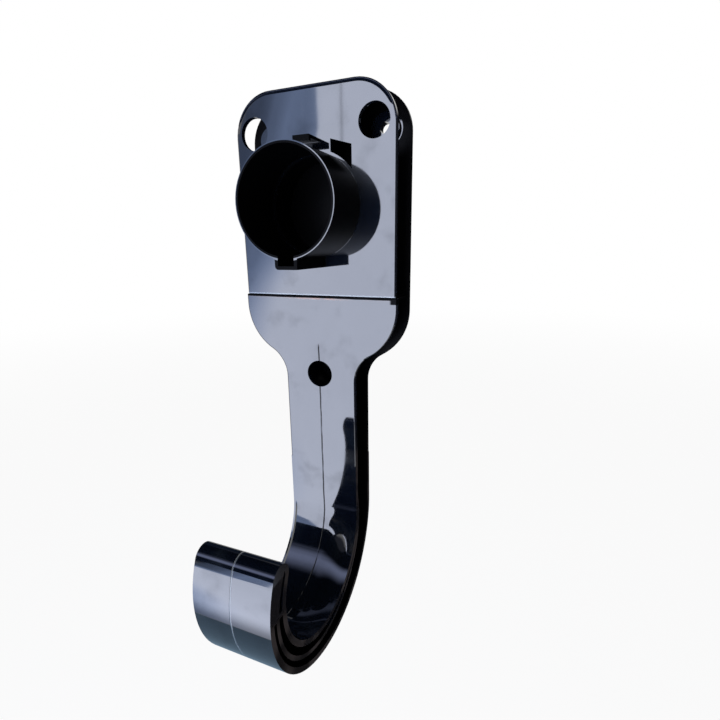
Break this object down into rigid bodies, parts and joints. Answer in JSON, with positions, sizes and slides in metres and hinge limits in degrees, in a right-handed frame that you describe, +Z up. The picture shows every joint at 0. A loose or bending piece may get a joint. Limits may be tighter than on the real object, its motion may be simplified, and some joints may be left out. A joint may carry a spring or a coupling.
{
  "type": "charging cable wall holder",
  "caption": "Wall holder for an electric vehicle's charging cable: screw plate with a socket that parks the plug, an arm and a hook for the coiled cable.",
  "frame": {"origin": "on the wall plane, where the socket's axis meets it", "axes": "+Z up, +Y into the wall, -Y out of the wall towards the user, +X to the right as seen from the front"},
  "size_m": [0.0836, 0.1012, 0.2593],
  "materials": {
    "holder_body": "high gloss, as moulded"
  },
  "bodies": {
    "root": {"holder_body": "holder_body"}
  },
  "joints": []
}
